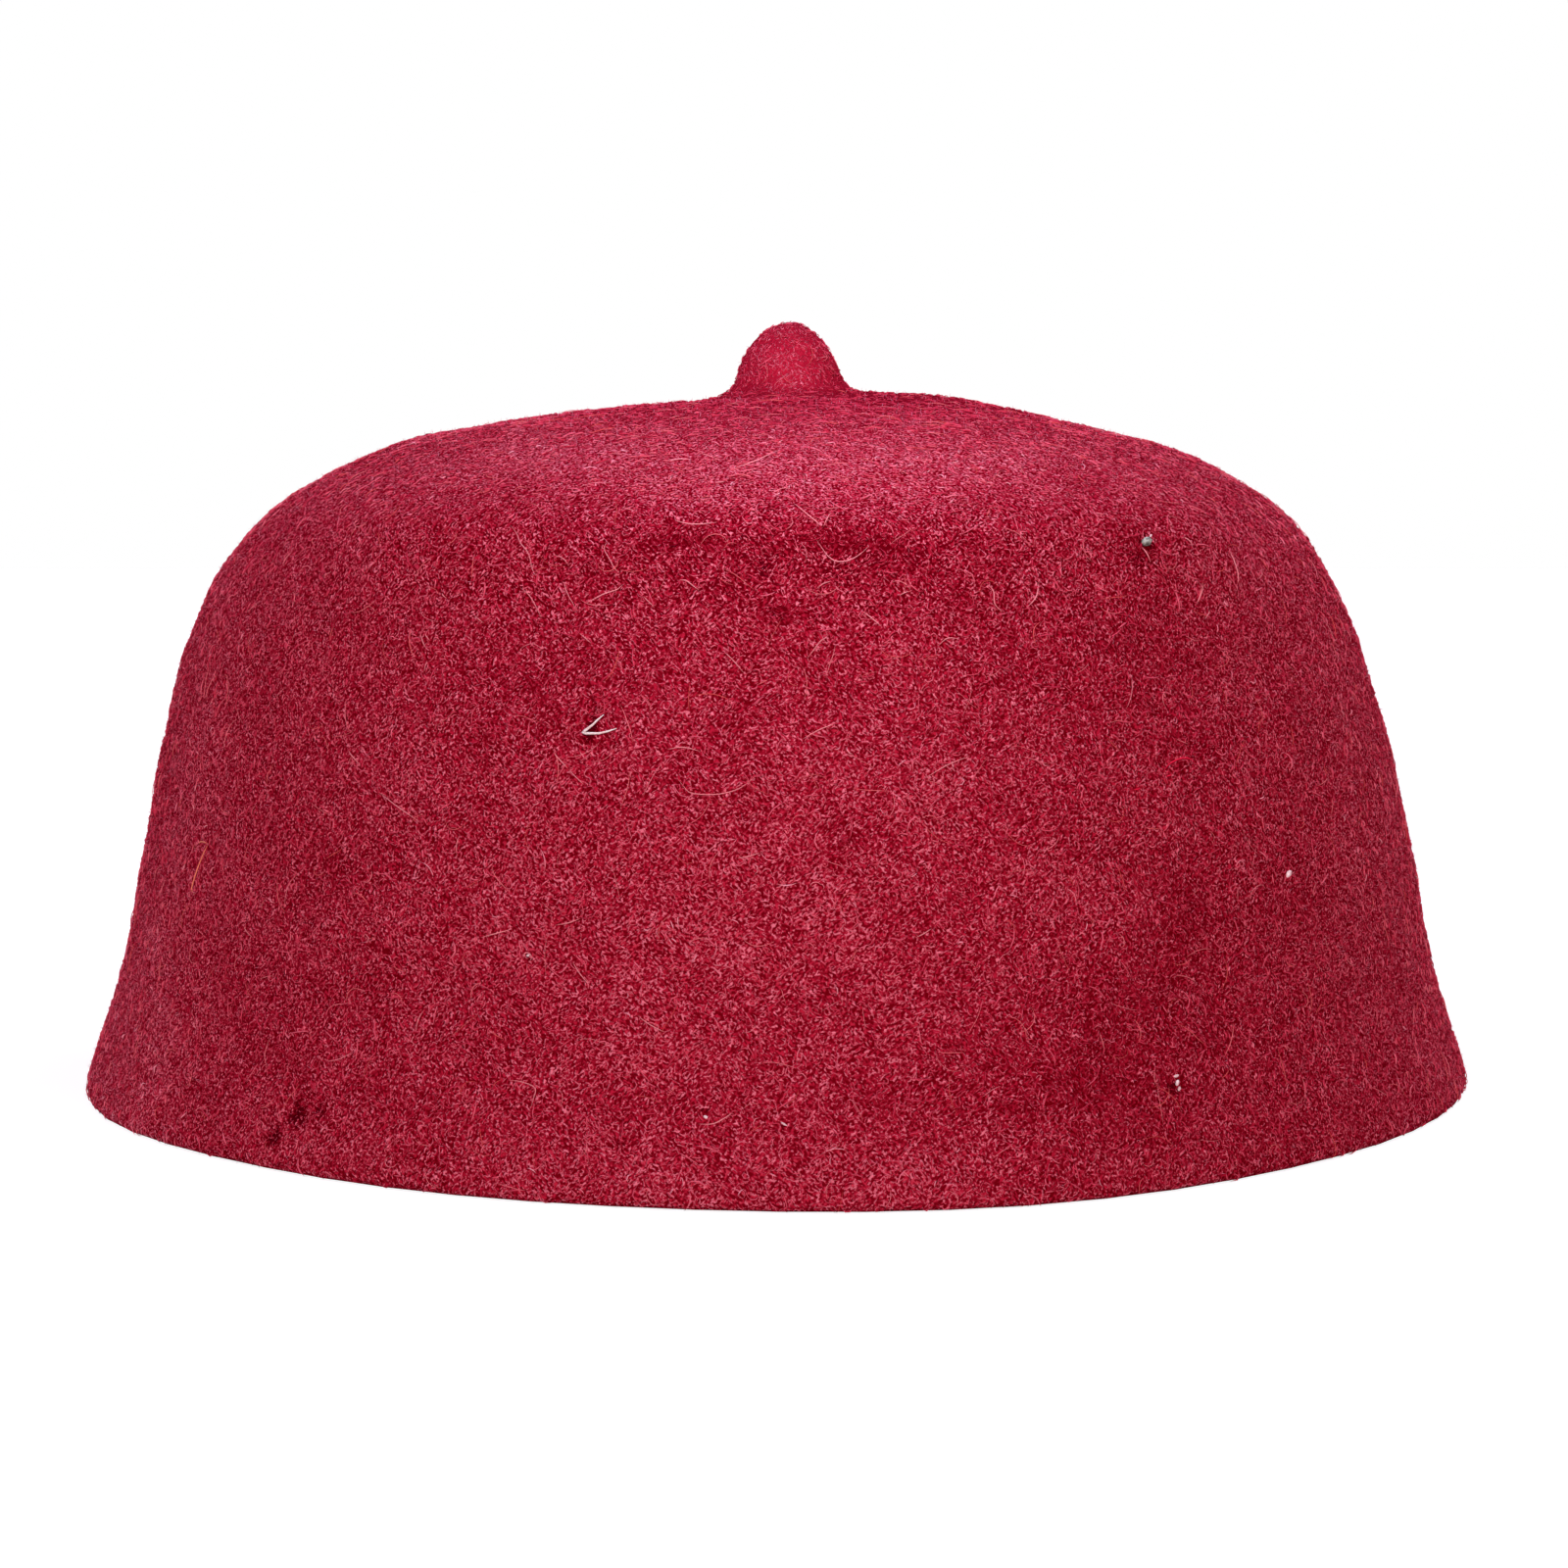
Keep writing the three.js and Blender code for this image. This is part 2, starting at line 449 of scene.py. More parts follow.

# %% [markdown]
# ## Light and dark areas
# Old felt is not of one colour: the wool itself is mottled, some places are lighter or darker, such as a
# band above the rim, and short dark dashes lie among the strands. Light and shade are painted into the
# colour as well: a painted highlight on the crown above the fold and on the nub, painted light on the left
# corner, the right shoulder, the side edges and the foot of the wall, and painted shade at the nub's foot
# and in and under the fold. A painted image would hold only the front, so one function gives the tone at
# any place, and the felt and the fibres on it share it. The areas that show in the photograph are named by
# their pixel, with a width, a height and a tone, and smooth noise gives the mottling everywhere. A second
# function says how tightly the felt is worked: it is smoothest on and round the nub, and a little looser
# under the fold.

# %% Areas of lighter and darker felt, and of painted light and shade
# Each row: pixel, millimetres across and up, tone; many rows are painted light or shade
TONE_AND_PAINTED_LIGHT_AREAS = [
    # Painted highlight on the crown above the fold
    ((840, 485), 30, 6, 0.14),
    ((540, 468), 16, 5, 0.10),
    ((1050, 465), 16, 5, 0.07),
    # Painted shade in the crease of the fold and at the nub's foot
    ((700, 530), 24, 3, -0.06),
    ((790, 410), 34, 4, -0.13),
    # Painted highlight on the nub
    ((808, 358), 9, 6, 0.10),
    ((808, 392), 3, 2.5, 0.10),
    # Painted shade under the fold
    ((830, 562), 24, 3, -0.07),
    ((1170, 562), 6, 3, -0.09),
    # A darker band above the rim
    ((640, 1134), 50, 2.5, -0.06),
    # Painted light along the foot of the wall
    ((830, 1205), 45, 4, 0.05),
    # Small darker and lighter spots in the wool
    ((1113, 1098), 5, 4, -0.12),
    ((1207, 916), 4, 4, -0.10),
    ((865, 855), 4, 2, -0.12),
    ((349, 887), 5, 3, -0.09),
    ((1201, 763), 3, 1.5, -0.10),
    ((931, 655), 7, 3, 0.07),
    # Painted shade under the fold
    ((830, 640), 42, 9, -0.035),
    # Lighter in the middle of the front wall, darker at its lower right
    ((740, 880), 50, 28, 0.05),
    ((860, 1000), 46, 26, 0.05),
    ((1130, 1070), 34, 18, -0.07),
    # Painted light on the left corner, along both side edges and on the right shoulder
    ((130, 1095), 18, 14, 0.10),
    ((190, 850), 12, 26, 0.06),
    ((1405, 850), 14, 26, 0.06),
    ((1270, 590), 16, 10, 0.05),
    # Painted light along the foot of the wall
    ((820, 1190), 50, 7, 0.03),
]
DARK_DASHES = [
    (992, 551), (677, 554), (861, 553), (714, 550), (805, 554), (913, 557), (739, 602), (796, 627),
    (601, 680), (545, 699), (738, 738), (863, 858), (500, 1000), (877, 1032), (1036, 1133), (216, 1117),
    (1318, 713), (1133, 659), (1214, 674), (1163, 714),
]
DASH = (2.6, 1.0, -0.12)
# In this row the last value is how loose the felt is
LOOSE_AREA = ((820, 565), 40, 8, 0.3)


def felt_area(pixel, across, up, tone):
    """A soft-edged area of the felt, about the place that a pixel shows."""
    return {"place": felt_under(pixel)[0], "across": across * MM, "up": up * MM, "tone": tone}


tone_and_painted_light_areas = [felt_area(*row) for row in TONE_AND_PAINTED_LIGHT_AREAS]
tone_and_painted_light_areas += [felt_area(pixel, *DASH) for pixel in DARK_DASHES]
loose_area = felt_area(*LOOSE_AREA)
print(f"{len(tone_and_painted_light_areas)} toned areas")

# %% Tone and tightness of the felt at any place
MOTTLES = [
    {"size": 13 * MM, "flatten": 1.5, "tone": 0.06},
    {"size": 5 * MM, "flatten": 2.2, "tone": 0.045},
]
TIGHT_START = 12 * MM
TIGHT_END = 60 * MM
TIGHTEST = 0.6


def area_tone(places, area):
    """An area's tone at each place: full in its middle, fading outwards."""
    away = places - np.array(area["place"])
    level = np.hypot(away[:, 0], away[:, 1]) / area["across"]
    return area["tone"] * np.exp(-level ** 2 - (away[:, 2] / area["up"]) ** 2)


def tight_felt(places):
    """How tightly the felt is worked at each place: most on the nub, and least under the fold."""
    away = np.linalg.norm(places - np.array((NUB_OFFSET, 0, crown_height)), axis=1)
    share = np.clip((TIGHT_END - away) / (TIGHT_END - TIGHT_START), 0, 1)
    return TIGHTEST * share ** 2 * (3 - 2 * share) - area_tone(places, loose_area)


def felt_tone(places):
    """How much lighter or darker the felt is at each of the places, painted light and shade included."""
    tone = np.zeros(len(places))
    for area in tone_and_painted_light_areas:
        tone += area_tone(places, area)
    for mottle in MOTTLES:
        stretch = np.array((1, 1, mottle["flatten"])) / mottle["size"]
        tone += mottle["tone"] * np.array([noise.noise(spot) for spot in places * stretch])
    return tone


def pit_shade_and_stain(places):
    """How dark each place is painted for lying in a pit, a crease or a shadow, or on a stain: most in the
    middle, fading out past the edge.
    """
    shadow = np.zeros(len(places))
    for pit in pits:
        away = np.linalg.norm(places - np.array(pit["place"]), axis=1) / pit["radius"]
        shadow += pit["dark"] * np.exp(-away ** 2)
    return shadow


for name, field in (("felt_tone", felt_tone), ("tight_felt", tight_felt)):
    layer = cap.data.attributes.new(name, "FLOAT", "POINT")
    values = field(vertex_array(cap))
    layer.data.foreach_set("value", values)
    print(f"{name} from {values.min():.2f} to {values.max():.2f}")

# %% [markdown]
# ## Shader maths as Python
# A felt finish needs a fair amount of arithmetic on noise. A small class wraps one socket of a node tree,
# so that an expression such as 1 - mask adds its Math nodes by itself. Every other node comes from one
# method, which takes the node's type, its settings and the values or links of its sockets.

# %% A socket that does sums


class Wool:
    """One output socket of a material's nodes, usable in Python expressions."""

    def __init__(self, tree, socket=None):
        self.tree = tree
        self.socket = socket

    def node(self, kind, settings, inputs, output=0):
        """Adds a node: its settings are set first, then its sockets are given values or links."""
        new = self.tree.nodes.new(kind)
        for name, value in settings.items():
            if name == "stops":
                self.set_stops(new.color_ramp, value)
            else:
                setattr(new, name, value)
        for name, value in inputs.items():
            if isinstance(value, Wool):
                self.tree.links.new(value.socket, new.inputs[name])
            else:
                new.inputs[name].default_value = value
        return Wool(self.tree, new.outputs[output])

    def set_stops(self, ramp, stops):
        """Sets a colour ramp's stops, given as (place, colour), after adding those it lacks."""
        while len(ramp.elements) < len(stops):
            ramp.elements.new(0.5)
        for element, (place, colour) in zip(ramp.elements, stops):
            element.position = place
            element.color = (*colour, 1)

    def sum_node(self, operation, first, second):
        """A Math node on two values."""
        return self.node("ShaderNodeMath", {"operation": operation}, {0: first, 1: second})

    def __add__(self, other):
        return self.sum_node("ADD", self, other)

    def __radd__(self, other):
        return self.sum_node("ADD", other, self)

    def __sub__(self, other):
        return self.sum_node("SUBTRACT", self, other)

    def __rsub__(self, other):
        return self.sum_node("SUBTRACT", other, self)

    def __mul__(self, other):
        return self.sum_node("MULTIPLY", self, other)

    def __rmul__(self, other):
        return self.sum_node("MULTIPLY", other, self)

    def __abs__(self):
        return self.node("ShaderNodeMath", {"operation": "ABSOLUTE"}, {0: self})

    def spread(self, low, high):
        """This value stretched so that low becomes 0 and high becomes 1, and kept between them."""
        return self.node("ShaderNodeMapRange", {"interpolation_type": "SMOOTHSTEP"},
                         {"Value": self, "From Min": low, "From Max": high})

    def between(self, first, second, blend="MIX"):
        """A colour mixed from two by this value: inputs 6 and 7 and output 2 are the node's colours."""
        settings = {"data_type": "RGBA", "blend_type": blend}
        return self.node("ShaderNodeMix", settings, {0: self, 6: first, 7: second}, 2)


def new_finish(name):
    """A new material with its shader and a start for its nodes."""
    material = bpy.data.materials.new(name)
    material.use_nodes = True
    return material, material.node_tree.nodes["Principled BSDF"], Wool(material.node_tree)


print("shader sums ready")

# %% [markdown]
# ## The felt finish
# Under the loose fibres the felt is a dense mat of curled wool. Seen close, it is a web of short bright
# strands over dark gaps, in small clumps. Plain noise would look like stone, so the strands are drawn from
# the contour lines of noise: where distorted noise passes through its middle value it makes long thin
# curls, and finer noise breaks them up. Two such webs, drawn out along two ways through the felt, take
# turns in swirls, and they also raise the bump. The tone and the tightness come in as attributes.

# %% Web of strands
NOISE_MIDDLE = 0.5
CURLS = {"per_metre": 1950, "detail": 0, "distortion": 0.8}
CURL_WIDTH = 0.10
FINE_CURLS = {"per_metre": 3700, "detail": 0, "distortion": 0.3}
FINE_RANGE = (0.32, 0.68)
FINE_SHARE = 0.45
STRAND_WAYS = [(0, -35, 20), (0, 40, -30)]
STRAND_STRETCH = 1.5
SWIRLS = {"per_metre": 260, "detail": 1, "distortion": 1.0}
SWIRL_RANGE = (0.42, 0.58)
CLUMPS = {"per_metre": 300, "detail": 2, "distortion": 0.6}

felt, felt_shader, wool = new_finish("crimson_felt")
place = wool.node("ShaderNodeTexCoord", {}, {}, "Object")


def felt_noise(where, per_metre, detail, distortion):
    """Smooth noise at places in the felt."""
    return wool.node("ShaderNodeTexNoise", {}, {
        "Vector": where, "Scale": per_metre, "Detail": detail, "Distortion": distortion})


def strand_web(way):
    """A web of curled strands that are drawn out along one way through the felt."""
    turn = [math.radians(angle) for angle in way]
    drawn = wool.node("ShaderNodeMapping", {"vector_type": "TEXTURE"}, {
        "Vector": place, "Rotation": turn, "Scale": (STRAND_STRETCH, 1, 1)})
    curls = 1 - abs(felt_noise(drawn, **CURLS) - NOISE_MIDDLE).spread(0, CURL_WIDTH)
    fine_curls = felt_noise(drawn, **FINE_CURLS).spread(*FINE_RANGE)
    return curls * fine_curls + fine_curls * FINE_SHARE


first_web, second_web = [strand_web(way) for way in STRAND_WAYS]
swirls = felt_noise(place, **SWIRLS).spread(*SWIRL_RANGE)
web = first_web * swirls + second_web * (1 - swirls)
clumps = felt_noise(place, **CLUMPS)
print(f"web of strands from {len(felt.node_tree.nodes)} nodes")

# %% Colour and relief of the felt
FELT_SHADES = [
    (0.0, (0.090, 0.0, 0.004)),
    (0.2, (0.165, 0.0, 0.004)),
    (0.6, (0.500, 0.011, 0.038)),
    (1.0, (0.980, 0.195, 0.275)),
]
FELT_TONE = 0.52
WEB_TONE = 0.4
WEB_CONTRAST = 0.8
HIGHLIGHT_CONTRAST = 2
CLUMP_TONE = 0.05
PIT_EDGE = (0.2, 1.5)
CLUMP_RELIEF = 1.5
FELT_BUMP = 0.28 * MM
BUMP_STRENGTH = 0.8
FELT_ROUGHNESS = 0.95

# The tone holds the mottle and the painted light and shade of the listed areas
tone_with_painted_light = wool.node("ShaderNodeAttribute", {"attribute_name": "felt_tone"}, {}, "Fac")
tight = wool.node("ShaderNodeAttribute", {"attribute_name": "tight_felt"}, {}, "Fac")
# Where the tone is lighter, mostly at the painted highlight on the crown, the web gets more contrast:
# painted light on the strands and painted shade in their gaps
contrast = (WEB_CONTRAST + tone_with_painted_light * HIGHLIGHT_CONTRAST) * (1 - tight)
tone = FELT_TONE + (web - WEB_TONE) * contrast + (clumps - NOISE_MIDDLE) * CLUMP_TONE + tone_with_painted_light
# The pits' darkness: painted shade in the pits and creases, painted shadow under the grain, the splinter
# and the specks, and one stain
for pit in pits:
    away = wool.node(
        "ShaderNodeVectorMath", {"operation": "DISTANCE"}, {0: place, 1: pit["place"]}, "Value")
    ragged = away + (clumps - NOISE_MIDDLE) * pit["radius"]
    tone = tone - pit["dark"] * (1 - ragged.spread(*(share * pit["radius"] for share in PIT_EDGE)))
colour = wool.node("ShaderNodeValToRGB", {"stops": FELT_SHADES}, {0: tone})
relief = wool.node("ShaderNodeBump", {}, {
    "Strength": BUMP_STRENGTH, "Distance": FELT_BUMP, "Height": web + clumps * CLUMP_RELIEF})
felt.node_tree.links.new(colour.socket, felt_shader.inputs["Base Color"])
felt.node_tree.links.new(relief.socket, felt_shader.inputs["Normal"])
felt_shader.inputs["Roughness"].default_value = FELT_ROUGHNESS
felt_shader.inputs["Specular IOR Level"].default_value = 0.0
cap.data.materials.append(felt)
print(f"felt finish of {len(felt.node_tree.nodes)} nodes")

# %% [markdown]
# ## Reading the felt's surface
# The fibres have to lie on the felt. A particle system could scatter them, but here each one takes its
# shade from the felt's tone at its place, so the shell's triangles are read into arrays once: corners,
# normals and areas. A seeded random generator picks places evenly over the area, and the normal there is
# mixed from the corners. Triangles are sorted into the outside, which gets most of the fibres, and the
# inside, which gets a few. The flat of the rim on the table gets none.

# %% Surface of the shell as arrays
SEED = 1907
EVEN_STEPS = (0.7548776662, 0.5698402910)
HEART_UP = 0.4
FACING_DOWN = -0.5
NO_LENGTH = 1e-12

chance = np.random.default_rng(SEED)
corners = vertex_array(cap)
corner_normals = vertex_array(cap, "normal")
triangles = np.empty(len(cap.data.loop_triangles) * 3, np.int32)
cap.data.loop_triangles.foreach_get("vertices", triangles)
triangles = triangles.reshape(-1, 3)


def unit(vectors):
    """The vectors brought to length one."""
    return vectors / np.maximum(np.linalg.norm(vectors, axis=-1, keepdims=True), NO_LENGTH)


crossed = np.cross(corners[triangles[:, 1]] - corners[triangles[:, 0]],
                   corners[triangles[:, 2]] - corners[triangles[:, 0]])
areas = np.linalg.norm(crossed, axis=1) / 2
facing = unit(crossed)
middles = corners[triangles].mean(1)
heart = np.array((0, 0, cap_height * HEART_UP))
outward = ((middles - heart) * facing).sum(1) > 0
on_table = (middles[:, 2] < RIM_ROUND) & (facing[:, 2] < FACING_DOWN)
outside = np.flatnonzero(outward & ~on_table)
inside = np.flatnonzero(~outward & ~on_table)


def scatter(count, faces):
    """Places spread evenly over the given triangles, each with the normal there."""
    ends = np.cumsum(areas[faces])
    number = np.arange(count)
    walked = (number + chance.uniform(0, 1, count)) / count * ends[-1]
    picked = faces[np.minimum(np.searchsorted(ends, walked), len(faces) - 1)]
    first, second = (chance.uniform(0, 1, 2)[:, None] + np.outer(EVEN_STEPS, number)) % 1
    folded = first + second > 1
    first, second = np.where(folded, 1 - first, first), np.where(folded, 1 - second, second)
    share = np.stack((1 - first - second, first, second), axis=1)[:, :, None]
    places = (share * corners[triangles[picked]]).sum(1)
    return places, unit((share * corner_normals[triangles[picked]]).sum(1))


print(f"outside {areas[outside].sum() / MM ** 2:.0f} mm2, inside {areas[inside].sum() / MM ** 2:.0f} mm2")

# %% [markdown]
# ## One mesh of many fibres
# A wool fibre here is a thin closed spindle: three sides, pointed at both ends, along a short bent line.
# One at a time by hand would take for ever, and so would tens of thousands of objects, so all the fibres
# of a piece are written into one mesh from arrays. A UV map holds each fibre's shade and the way along it
# from tip to tip, and the fibre's finish reads its colour from there.

# %% Fibres from arrays
SIDES = 3
SHADE_MAP = "OFBake"
SHADE_WIDTH = 0.004
SHADE_START = 0.02
SHADE_SPAN = 0.95
FIBRE_TAPER = 0.7
ABOVE_TABLE = 0.02 * MM


def lay_fibres(name, lines, normals, radii, shades, finish):
    """A piece of closed fibres, one along each line of points, thickest in the middle."""
    count, steps = lines.shape[:2]
    rings = steps - 2
    along = unit(np.gradient(lines, axis=1))[:, 1:-1]
    across = unit(np.cross(along, normals[:, None, :]))
    above = np.cross(across, along)
    thick = radii[:, None] * np.sin(np.pi * np.arange(1, steps - 1) / (steps - 1)) ** FIBRE_TAPER
    turns = np.arange(SIDES) * 2 * np.pi / SIDES
    ring_points = (lines[:, 1:-1, None, :]
                   + thick[:, :, None, None] * (across[:, :, None, :] * np.cos(turns)[:, None]
                                                + above[:, :, None, :] * np.sin(turns)[:, None]))
    points = np.concatenate(
        [lines[:, :1], ring_points.reshape(count, rings * SIDES, 3), lines[:, -1:]], axis=1)
    points[:, :, 2] = np.maximum(points[:, :, 2], ABOVE_TABLE)

    last = 1 + rings * SIDES
    pattern = []
    for side in range(SIDES):
        other = (side + 1) % SIDES
        pattern.append((0, 1 + other, 1 + side))
        for ring in range(rings - 1):
            here = 1 + ring * SIDES
            there = here + SIDES
            pattern.append((here + side, here + other, there + other))
            pattern.append((here + side, there + other, there + side))
        end = last - SIDES
        pattern.append((end + side, end + other, last))
    per_fibre = points.shape[1]
    faces = (np.array(pattern)[None] + per_fibre * np.arange(count)[:, None, None]).reshape(-1, 3)

    mark_u = np.concatenate([[1], np.tile(np.arange(SIDES), rings), [1]]) * SHADE_WIDTH
    mark_v = np.concatenate([[0], np.repeat(np.arange(1, steps - 1), SIDES) / (steps - 1), [1]])
    marks = np.empty((count, per_fibre, 2))
    marks[:, :, 0] = SHADE_START + SHADE_SPAN * shades[:, None] + mark_u
    marks[:, :, 1] = mark_v

    made = bpy.data.meshes.new(name)
    made.vertices.add(count * per_fibre)
    made.vertices.foreach_set("co", points.ravel())
    made.loops.add(faces.size)
    made.loops.foreach_set("vertex_index", faces.ravel())
    made.polygons.add(len(faces))
    made.polygons.foreach_set("loop_start", np.arange(0, faces.size, 3))
    made.polygons.foreach_set("use_smooth", np.ones(len(faces), bool))
    made.update(calc_edges=True)
    layer = made.uv_layers.new(name=SHADE_MAP)
    layer.data.foreach_set("uv", marks.reshape(-1, 2)[faces.ravel()].ravel())
    piece = bpy.data.objects.new(name, made)
    bpy.context.scene.collection.objects.link(piece)
    made.materials.append(finish)
    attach(piece, "root")
    print(f"{name}: {count} fibres, {len(faces)} triangles")


print(f"fibres of {SIDES} sides ready")

# %% [markdown]
# ## The nap
# Felt has no pile, but its surface is full of short ends and loops of wool that lie flat, one or two
# millimetres long and some of them longer. They catch the light and make the fine speckle of the
# photograph. Blender's hair would be lost in an export, so they are mesh fibres. Each lies at a random
# place, with a heading that follows small swirls, bends in its middle and dips into the felt at both ends.
# Their shades follow a bell curve from dark crimson to pink, about the felt's tone there, with its painted
# light and shade.

# %% Nap finish
NAP_SHADES = [
    (0.0, (0.030, 0.0, 0.004)),
    (0.2, (0.360, 0.004, 0.022)),
    (0.52, (0.640, 0.038, 0.085)),
    (0.84, (0.900, 0.160, 0.230)),
    (1.0, (0.960, 0.360, 0.440)),
]
SUNK_SHADE_RANGE = (0.25, 0.5)
SUNK_SHADE_SHARE = 0.3
SUNK_SHADE_COLOUR = (0.4, 0.3, 0.3, 1)
FIBRE_MIDDLE = 0.5
FIBRE_ROUGHNESS = 0.8


def fibre_finish(name, stops):
    """A matt finish whose colour runs over the fibre's shade, with painted shade where its ends sink in."""
    material, shader, wool = new_finish(name)
    marks = wool.node("ShaderNodeUVMap", {"uv_map": SHADE_MAP}, {})
    shade = wool.node("ShaderNodeSeparateXYZ", {}, {0: marks}, 0)
    along = wool.node("ShaderNodeSeparateXYZ", {}, {0: marks}, 1)
    colour = wool.node("ShaderNodeValToRGB", {"stops": stops}, {0: shade})
    # Painted shade where the fibre's ends sink into the felt
    sunk = abs(along - FIBRE_MIDDLE).spread(*SUNK_SHADE_RANGE) * SUNK_SHADE_SHARE
    darkened = sunk.between(colour, SUNK_SHADE_COLOUR, "MULTIPLY")
    material.node_tree.links.new(darkened.socket, shader.inputs["Base Color"])
    shader.inputs["Roughness"].default_value = FIBRE_ROUGHNESS
    shader.inputs["Specular IOR Level"].default_value = 0.0
    return material


nap_finish = fibre_finish("wool_nap", NAP_SHADES)
print(f"nap finish of {len(NAP_SHADES)} shades")

# %% Short nap over the outside and thinner inside
NAP_PIECES = 3
NAP_COUNT = 16500
NAP_LONG_COUNT = 3200
INSIDE_COUNT = 3000
SHORT = {"lengths": (0.9 * MM, 1.7 * MM), "steps": 4, "bend": 0.35, "radius": 0.095 * MM}
LONG = {"lengths": (2.0 * MM, 3.6 * MM), "steps": 5, "bend": 0.2, "radius": 0.1 * MM}
NAP_THICKNESS = (0.75, 1.2)
NAP_LIFT = 0.16 * MM
NAP_LIFTED = (0.4, 1.3)
NAP_SINK = 0.06 * MM
BOW_BACK = 0.6
NAP_SHADE = 0.56
NAP_UNEVEN = 0.10
HIGHLIGHT_UNEVEN = 0.5
NAP_TONE = 1.1
SWIRL_SIZE = 4 * MM
SWIRL_TURN = 2 * math.pi
STRAY_TURN = 0.8


def headings(normals, turn):
    """Directions along the felt, each turned about the normal there."""
    level = unit(np.cross(normals, np.array(ASKEW)))
    return level * np.cos(turn)[:, None] + np.cross(normals, level) * np.sin(turn)[:, None]


def bent_lines(places, normals, lengths, steps, bend):
    """Short bent lines on the felt: laid in swirls, sunk at both ends, lifted between."""
    count = len(places)
    swirl = SWIRL_TURN * np.array([noise.noise(spot) for spot in places / SWIRL_SIZE])
    heading = headings(normals, swirl + chance.normal(0, STRAY_TURN, count))
    aside = np.cross(normals, heading)
    bow = chance.normal(0, bend, count)[:, None, None] * lengths[:, None, None]
    share = np.linspace(0, 1, steps)[None, :, None]
    arch = np.sin(np.pi * share)
    lift = NAP_LIFT * chance.uniform(*NAP_LIFTED, count)[:, None, None]
    return (places[:, None, :]
            + heading[:, None, :] * (share - FIBRE_MIDDLE) * lengths[:, None, None]
            + aside[:, None, :] * (arch - BOW_BACK) * bow
            + normals[:, None, :] * (arch * (lift + NAP_SINK) - NAP_SINK))


def lay_nap(name, count, faces, kind):
    """A piece of nap on the given faces, with the felt's tone and its painted light and shade."""
    places, normals = scatter(count, faces)
    lengths = chance.uniform(*kind["lengths"], count)
    lines = bent_lines(places, normals, lengths, kind["steps"], kind["bend"])
    # The nap takes the felt's tone with its painted light and shade, and the painted shade of the pits.
    # Where the tone is lighter, mostly at the painted highlight on the crown, the fibres differ more:
    # painted light and shade of fibres lit from above
    tone = felt_tone(places)
    uneven = (NAP_UNEVEN + HIGHLIGHT_UNEVEN * np.maximum(tone, 0)) * (1 - tight_felt(places))
    shades = NAP_SHADE + chance.normal(0, 1, count) * uneven + NAP_TONE * tone - pit_shade_and_stain(places)
    radii = kind["radius"] * chance.uniform(*NAP_THICKNESS, count)
    lay_fibres(name, lines, normals, radii, np.clip(shades, 0, 1), nap_finish)


for number in range(1, NAP_PIECES + 1):
    lay_nap(f"nap_short_{number}", NAP_COUNT, outside, SHORT)
lay_nap("nap_long", NAP_LONG_COUNT, outside, LONG)
lay_nap("nap_inside", INSIDE_COUNT, inside, SHORT)

# %% [markdown]
# ## Fuzz
# Some of the fine ends stand up from the felt. Face on they hardly show, but along the outline and on the
# crown, where the eye looks across them, they add up to a pale, soft edge. A sheen on the shader would
# give the edge its colour but no ends, so they are thin straight fibres that lean in every direction.
# Their pale pink-violet colour is paler wool, and in part a painted sheen of the white light that fine
# fibres scatter.

# %% Fuzz over the outside
FUZZ_COUNT = 12000
FUZZ_LENGTH = (0.4 * MM, 0.8 * MM)
FUZZ_RADIUS = 0.03 * MM
FUZZ_LEAN = (0.1, 0.9)
FUZZ_ROOT = -0.1
FUZZ_STEPS = 3
# Paler wool, and in part a painted sheen of the white light that fine fibres scatter
FUZZ_SHADES_AND_SHEEN = [
    (0.0, (0.720, 0.100, 0.190)),
    (1.0, (0.940, 0.320, 0.450)),
]

places, normals = scatter(FUZZ_COUNT, outside)
aside = headings(normals, chance.uniform(0, 2 * np.pi, FUZZ_COUNT))
lean = chance.uniform(*FUZZ_LEAN, FUZZ_COUNT)[:, None]
upright = normals * np.cos(lean) + aside * np.sin(lean)
reach = chance.uniform(*FUZZ_LENGTH, FUZZ_COUNT)[:, None, None]
along = np.linspace(FUZZ_ROOT, 1, FUZZ_STEPS)[None, :, None]
lay_fibres(
    "fuzz", places[:, None, :] + upright[:, None, :] * reach * along, aside,
    np.full(FUZZ_COUNT, FUZZ_RADIUS), chance.uniform(0, 1, FUZZ_COUNT),
    fibre_finish("wool_fuzz", FUZZ_SHADES_AND_SHEEN))

# %% [markdown]
# ## Loose hairs
# Many thin hairs lie on the felt, and some longer pale ones. A plain curve would cut through the lumps,
# so a hair is walked over the skin: one short step along its heading, back to the nearest point of the
# felt, a small turn, and on. The hairs that can be told apart in the photograph are drawn through their
# own pixels instead. One near the left edge is orange, and on the right is a small tuft of bright red wool.

# %% Hairs over the whole cap
HAIR_COUNT = 1400
HAIR_STEPS = 9
HAIR_LENGTH = (1.5 * MM, 5.5 * MM)
HAIR_RADIUS = 0.055 * MM
HAIR_THICKNESS = (0.6, 1.2)
HAIR_LIFT = 0.28 * MM
HAIR_BEND = 0.15
HAIR_SHADES = [
    (0.0, (0.760, 0.080, 0.075)),
    (1.0, (0.940, 0.220, 0.270)),
]


